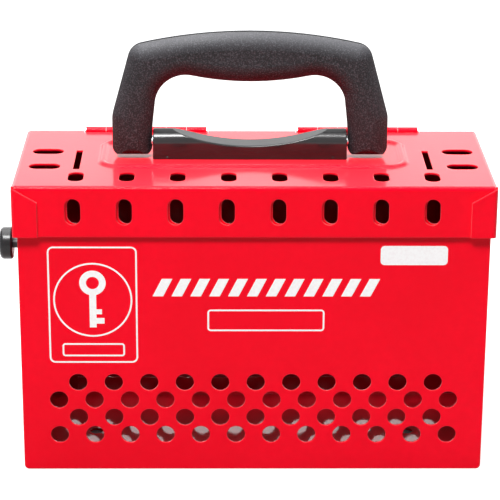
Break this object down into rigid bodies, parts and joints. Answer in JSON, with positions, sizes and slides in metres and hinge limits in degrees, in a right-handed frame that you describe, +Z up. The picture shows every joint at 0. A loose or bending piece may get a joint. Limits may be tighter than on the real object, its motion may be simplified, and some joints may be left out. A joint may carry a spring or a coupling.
{
  "type": "group lockout box",
  "caption": "Portable sheet-metal lockout box with a hinged slotted lid, fold-down carrying handle, perforated panels and a push-button side latch.",
  "frame": {"origin": "middle of the box's underside, halfway across its width and depth, on the surface it stands on", "axes": "+X to the right seen from the front, the front with the eight slots faces -Y, +Z up"},
  "size_m": [0.2467, 0.0985, 0.2159],
  "materials": {
    "red_paint": "glossy powder coat",
    "handle_plastic": "fine grained",
    "bracket_plastic": "satin to glossy",
    "knob_plastic": "satin",
    "black_steel": "blackened, satin",
    "zinc_steel": "zinc plated"
  },
  "bodies": {
    "box": {"box_wrap": "red_paint", "front_panel": "red_paint", "back_panel": "red_paint", "hinge_left_box_leaf": "red_paint", "hinge_right_box_leaf": "red_paint", "hinge_left_pin": "zinc_steel", "hinge_right_pin": "zinc_steel", "latch_bush": "knob_plastic", "latch_guide": "red_paint"},
    "lid": {"lid_shell": "red_paint", "latch_keeper": "red_paint", "hinge_left_lid_leaf": "red_paint", "hinge_right_lid_leaf": "red_paint", "handle_bracket": "bracket_plastic", "pivot_pin_left": "zinc_steel", "pivot_pin_right": "zinc_steel", "handle_backing_plate": "zinc_steel", "bracket_screws": "zinc_steel"},
    "handle": {"handle_grip": "handle_plastic"},
    "latch": {"latch_knob": "knob_plastic", "latch_rod": "black_steel", "latch_catch": "zinc_steel", "latch_clip": "zinc_steel"}
  },
  "joints": [
    {"name": "lid_hinge", "type": "hinge", "parent": "box", "child": "lid", "pos_m": [0, 0.046, 0.1512], "axis": [-1, 0, 0], "range_deg": [0, 120]},
    {"name": "handle_fold", "type": "hinge", "parent": "lid", "child": "handle", "pos_m": [-0.00175, 0.002, 0.15935], "axis": [1, 0, 0], "range_deg": [-80, 90]},
    {"name": "latch_push", "type": "slide", "parent": "box", "child": "latch", "axis": [1, 0, 0], "range_m": [0, 0.005]}
  ]
}
